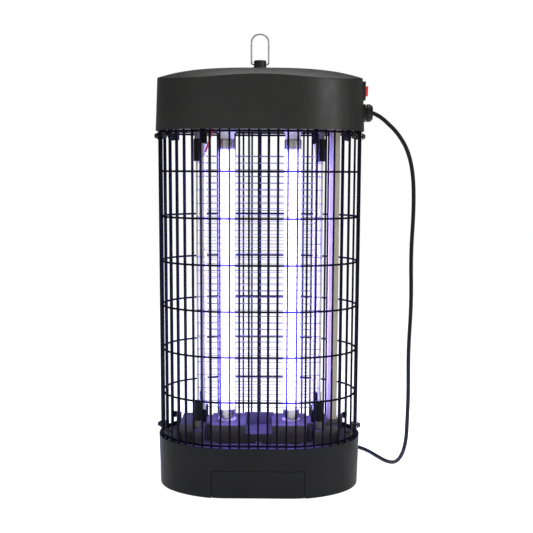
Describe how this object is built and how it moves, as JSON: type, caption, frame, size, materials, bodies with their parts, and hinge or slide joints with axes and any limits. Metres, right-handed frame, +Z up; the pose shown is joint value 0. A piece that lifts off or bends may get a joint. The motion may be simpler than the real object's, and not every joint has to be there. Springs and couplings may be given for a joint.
{
  "type": "electric bug zapper",
  "caption": "Upright electric insect killer with two ultraviolet tubes inside a high-voltage wire grid and a welded wire guard, domed top housing, hanging loop, catch drawer and mains cord.",
  "frame": {"origin": "centre of the flat underside of the base, on the surface it stands on", "axes": "+Z up, -Y towards the front with the catch drawer, +X towards the side with the switch and the cable gland"},
  "size_m": [0.4003, 0.28, 0.694],
  "materials": {
    "ballast_case": "white enamel",
    "base_plastic": "satin black moulded plastic",
    "boss_black": "satin black moulded plastic",
    "conduit_beige": "satin beige",
    "copper_winding": "enamelled",
    "cord_black": "satin black flex",
    "deck_plastic": "satin black moulded plastic",
    "ferrule_grey": "satin grey",
    "gland_black": "satin black nylon",
    "gland_rubber": "matte",
    "grid_steel": "bright drawn",
    "guard_black": "black powder coat",
    "hanger_wire": "zinc plated",
    "holder_white": "satin white",
    "housing_plastic": "satin black moulded plastic",
    "insulator_black": "satin black",
    "laminated_iron": "varnished",
    "lamp_cap": "satin",
    "lamp_glass": "phosphor coated",
    "lead_red": "satin red silicone",
    "pin_brass": "satin",
    "pin_nickel": "nickel plated",
    "plug_black": "satin black moulded",
    "rocker_red": "gloss red",
    "screw_black": "blackened steel",
    "starter_white": "satin white",
    "switch_black": "gloss black",
    "tie_black": "satin nylon",
    "tin_brass": "tinned",
    "wire_grey": "satin",
    "zinc_steel": "zinc plated"
  },
  "bodies": {
    "frame": {"ballasts": "ballast_case", "base_deck": "deck_plastic", "base_shell": "base_plastic", "conduit_wires": "wire_grey", "cord_coil": "cord_black", "cord_tie": "tie_black", "deck_screws": "screw_black", "floor_screws": "zinc_steel", "gland_body": "gland_black", "gland_locknut": "gland_black", "gland_nut": "gland_black", "gland_sleeve": "gland_rubber", "grid_posts_inner": "grid_steel", "grid_posts_outer": "grid_steel", "grid_wire_ends_back": "grid_steel", "grid_wire_ends_front": "grid_steel", "grid_wires_earth_back": "grid_steel", "grid_wires_earth_front": "grid_steel", "grid_wires_live_back": "grid_steel", "grid_wires_live_front": "grid_steel", "guard_bars": "guard_black", "guard_bottom_ring": "guard_black", "guard_rings": "guard_black", "guard_screws": "screw_black", "guard_top_ring": "guard_black", "hanger_boss": "boss_black", "hanger_nut": "zinc_steel", "hanger_washer": "zinc_steel", "housing_floor": "housing_plastic", "hv_lead": "lead_red", "hv_lug": "tin_brass", "insulator_caps": "insulator_black", "insulator_sleeves": "insulator_black", "lampholders_bottom": "holder_white", "lampholders_top": "holder_white", "mains_lead_inside": "cord_black", "plug_body": "plug_black", "plug_pins": "pin_nickel", "post_ferrules": "ferrule_grey", "power_cord": "cord_black", "starter_sockets": "holder_white", "starters": "starter_white", "switch_body": "switch_black", "switch_terminals": "tin_brass", "terminal_block": "holder_white", "top_housing": "housing_plastic", "transformer_core": "laminated_iron", "transformer_winding": "copper_winding", "wiring_conduit": "conduit_beige"},
    "drawer": {"drawer": "base_plastic"},
    "lamp_left": {"lamp_caps_left": "lamp_cap", "lamp_glass_left": "lamp_glass", "lamp_pins_left": "pin_brass"},
    "lamp_right": {"lamp_caps_right": "lamp_cap", "lamp_glass_right": "lamp_glass", "lamp_pins_right": "pin_brass"},
    "hanger_loop": {"hanger_loop": "hanger_wire"},
    "rocker": {"rocker": "rocker_red"}
  },
  "joints": [
    {"name": "drawer_slide", "type": "slide", "parent": "frame", "child": "drawer", "axis": [0, -1, 0], "range_m": [0, 0.125]},
    {"name": "lamp_left_twist", "type": "hinge", "parent": "frame", "child": "lamp_left", "pos_m": [-0.0507, 0, 0.3182], "axis": [0, 0, 1], "range_deg": [0, 90]},
    {"name": "lamp_right_twist", "type": "hinge", "parent": "frame", "child": "lamp_right", "pos_m": [0.0507, 0, 0.3182], "axis": [0, 0, 1], "range_deg": [0, 90]},
    {"name": "hanger_loop_pivot", "type": "hinge", "parent": "frame", "child": "hanger_loop", "pos_m": [0, 0, 0.648], "axis": [1, 0, 0], "range_deg": [-80, 80]},
    {"name": "rocker_pivot", "type": "hinge", "parent": "frame", "child": "rocker", "pos_m": [0.1568, 0, 0.6085], "axis": [0, 1, 0], "range_deg": [-6, 0]}
  ]
}
